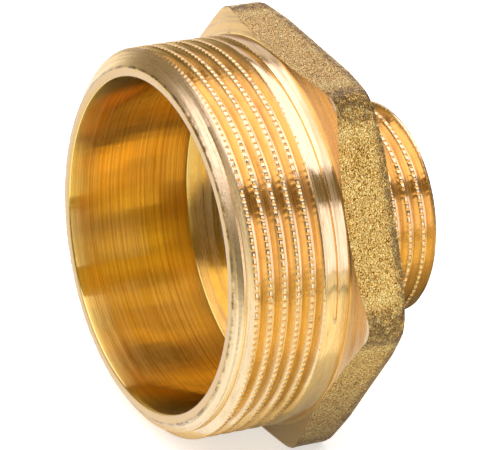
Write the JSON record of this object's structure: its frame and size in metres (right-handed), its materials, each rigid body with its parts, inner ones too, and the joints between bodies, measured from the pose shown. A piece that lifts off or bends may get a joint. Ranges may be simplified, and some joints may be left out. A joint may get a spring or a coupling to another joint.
{
  "type": "hexagonal reducing nipple",
  "caption": "Brass pipe reducer with a wide male pipe thread, a hexagonal wrench section and a narrower male pipe thread, bored through with a stepped bore.",
  "frame": {"origin": "bottom centre of the bounding box: on the hexagon flat that the piece lies on, halfway along its length", "axes": "+X along the threads' axis from the large end to the small end, +Z the normal of the hexagon's upper flat, +Y towards a hexagon corner"},
  "size_m": [0.0416, 0.068, 0.06],
  "materials": {
    "brass": "turned threads and bore, forged sandy hexagon"
  },
  "bodies": {
    "root": {"reducing_nipple": "brass"}
  },
  "joints": []
}
